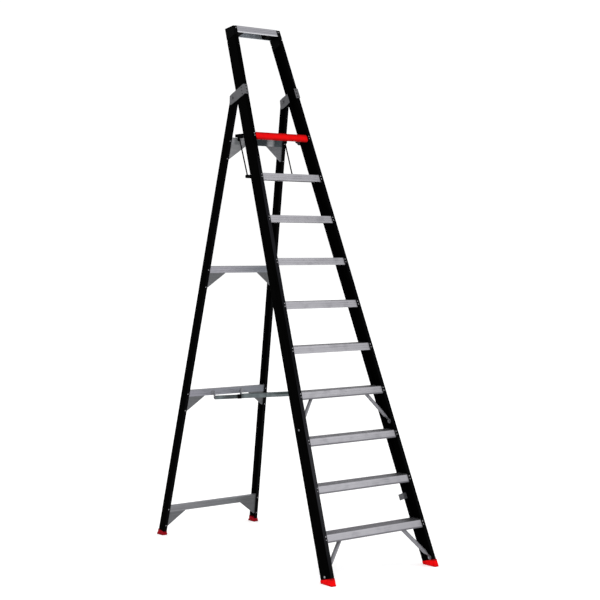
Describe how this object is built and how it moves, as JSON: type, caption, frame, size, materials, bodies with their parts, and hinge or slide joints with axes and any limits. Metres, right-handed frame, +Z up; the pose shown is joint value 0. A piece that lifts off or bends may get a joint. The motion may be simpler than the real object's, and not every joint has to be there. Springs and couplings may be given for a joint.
{
  "type": "platform stepladder",
  "caption": "Tall platform stepladder: tapered channel stiles, grooved treads, guard rail, braced rear prop frame and spreaders; the rear frame and platform fold flat for carrying.",
  "frame": {"origin": "middle of the footprint, on the floor", "axes": "+Z up, -Y towards the side that is climbed, X across the treads"},
  "size_m": [0.964, 2.174, 3.8638],
  "materials": {
    "black_grp": "glass-fibre channel, satin",
    "black_plastic": "moulded, fine grain",
    "tread_aluminium": "extruded, brushed",
    "rail_aluminium": "extruded, satin",
    "plate_steel": "zinc plated",
    "bar_steel": "grey",
    "black_steel": "black",
    "red_rubber": "moulded",
    "red_plastic": "moulded"
  },
  "bodies": {
    "front_frame": {"brace_bolts": "plate_steel", "hinge_bolts": "plate_steel", "left_front_foot": "red_rubber", "left_front_stile": "black_grp", "left_handrail_corner": "black_plastic", "left_hinge_bracket": "plate_steel", "left_hinge_cheek": "plate_steel", "left_lower_brace": "plate_steel", "left_upper_brace": "plate_steel", "lever_brackets": "plate_steel", "lever_pins": "plate_steel", "platform_hinge_brackets": "plate_steel", "platform_pivots": "plate_steel", "right_front_foot": "red_rubber", "right_front_stile": "black_grp", "right_handrail_corner": "black_plastic", "right_hinge_bracket": "plate_steel", "right_hinge_cheek": "plate_steel", "right_lower_brace": "plate_steel", "right_upper_brace": "plate_steel", "spreader_fork_pins": "plate_steel", "spreader_forks": "plate_steel", "top_handrail": "tread_aluminium", "transport_clip": "plate_steel", "tread_1": "tread_aluminium", "tread_2": "tread_aluminium", "tread_3": "tread_aluminium", "tread_4": "tread_aluminium", "tread_5": "tread_aluminium", "tread_6": "tread_aluminium", "tread_7": "tread_aluminium", "tread_8": "tread_aluminium", "tread_9": "tread_aluminium"},
    "platform": {"platform_deck": "black_plastic", "platform_nose": "red_plastic", "platform_sides": "black_steel"},
    "left_link": {"left_link_rod": "black_steel"},
    "left_lever": {"left_lever": "black_steel"},
    "left_spreader_front": {"left_spreader_front": "bar_steel"},
    "left_spreader_rear": {"left_spreader_rear": "bar_steel"},
    "right_link": {"right_link_rod": "black_steel"},
    "right_lever": {"right_lever": "black_steel"},
    "right_spreader_front": {"right_spreader_front": "bar_steel"},
    "right_spreader_rear": {"right_spreader_rear": "bar_steel"},
    "rear_frame": {"left_rear_leg": "black_grp", "right_rear_leg": "black_grp", "rear_rail_1": "rail_aluminium", "rear_rail_2": "rail_aluminium", "rear_rail_3": "rail_aluminium", "rear_rail_4": "rail_aluminium", "gussets_1": "rail_aluminium", "gussets_2": "rail_aluminium", "gussets_3": "rail_aluminium", "gussets_4": "rail_aluminium", "left_rear_foot": "red_rubber", "right_rear_foot": "red_rubber", "spreader_hooks": "plate_steel", "spreader_hook_pins": "plate_steel"}
  },
  "joints": [
    {"name": "rear_fold", "type": "hinge", "parent": "front_frame", "child": "rear_frame", "pos_m": [0, 0.34251, 3.32], "axis": [-1, 0, 0], "range_deg": [0, 32]},
    {"name": "platform_tilt", "type": "hinge", "parent": "front_frame", "child": "platform", "pos_m": [0, 0.18341, 3.008], "axis": [1, 0, 0], "range_deg": [0, 64]},
    {"name": "left_lever_swing", "type": "hinge", "parent": "front_frame", "child": "left_lever", "pos_m": [0, 0.08466, 2.731], "axis": [1, 0, 0], "range_deg": [0, 64]},
    {"name": "left_link_swing", "type": "hinge", "parent": "platform", "child": "left_link", "pos_m": [0, 0.31314, 3.01639], "axis": [-1, 0, 0], "range_deg": [0, 64]},
    {"name": "left_spreader_front_fold", "type": "hinge", "parent": "front_frame", "child": "left_spreader_front", "pos_m": [0, -0.49799, 1.202], "axis": [1, 0, 0], "range_deg": [0, 74.59]},
    {"name": "left_spreader_rear_fold", "type": "hinge", "parent": "rear_frame", "child": "left_spreader_rear", "pos_m": [0, 0.77236, 1.06489], "axis": [-1, 0, 0], "range_deg": [0, 71.86]},
    {"name": "right_lever_swing", "type": "hinge", "parent": "front_frame", "child": "right_lever", "pos_m": [0, 0.08466, 2.731], "axis": [1, 0, 0], "range_deg": [0, 64]},
    {"name": "right_link_swing", "type": "hinge", "parent": "platform", "child": "right_link", "pos_m": [0, 0.31314, 3.01639], "axis": [-1, 0, 0], "range_deg": [0, 64]},
    {"name": "right_spreader_front_fold", "type": "hinge", "parent": "front_frame", "child": "right_spreader_front", "pos_m": [0, -0.49799, 1.202], "axis": [1, 0, 0], "range_deg": [0, 74.59]},
    {"name": "right_spreader_rear_fold", "type": "hinge", "parent": "rear_frame", "child": "right_spreader_rear", "pos_m": [0, 0.77236, 1.06489], "axis": [-1, 0, 0], "range_deg": [0, 71.86]}
  ],
  "couplings": [
    {"joint": "platform_tilt", "follows": "rear_fold", "ratio": 2},
    {"joint": "left_lever_swing", "follows": "rear_fold", "ratio": 2},
    {"joint": "left_link_swing", "follows": "rear_fold", "ratio": 2},
    {"joint": "left_spreader_front_fold", "follows": "rear_fold", "ratio": 2.331},
    {"joint": "left_spreader_rear_fold", "follows": "rear_fold", "ratio": 2.2457},
    {"joint": "right_lever_swing", "follows": "rear_fold", "ratio": 2},
    {"joint": "right_link_swing", "follows": "rear_fold", "ratio": 2},
    {"joint": "right_spreader_front_fold", "follows": "rear_fold", "ratio": 2.331},
    {"joint": "right_spreader_rear_fold", "follows": "rear_fold", "ratio": 2.2457}
  ]
}
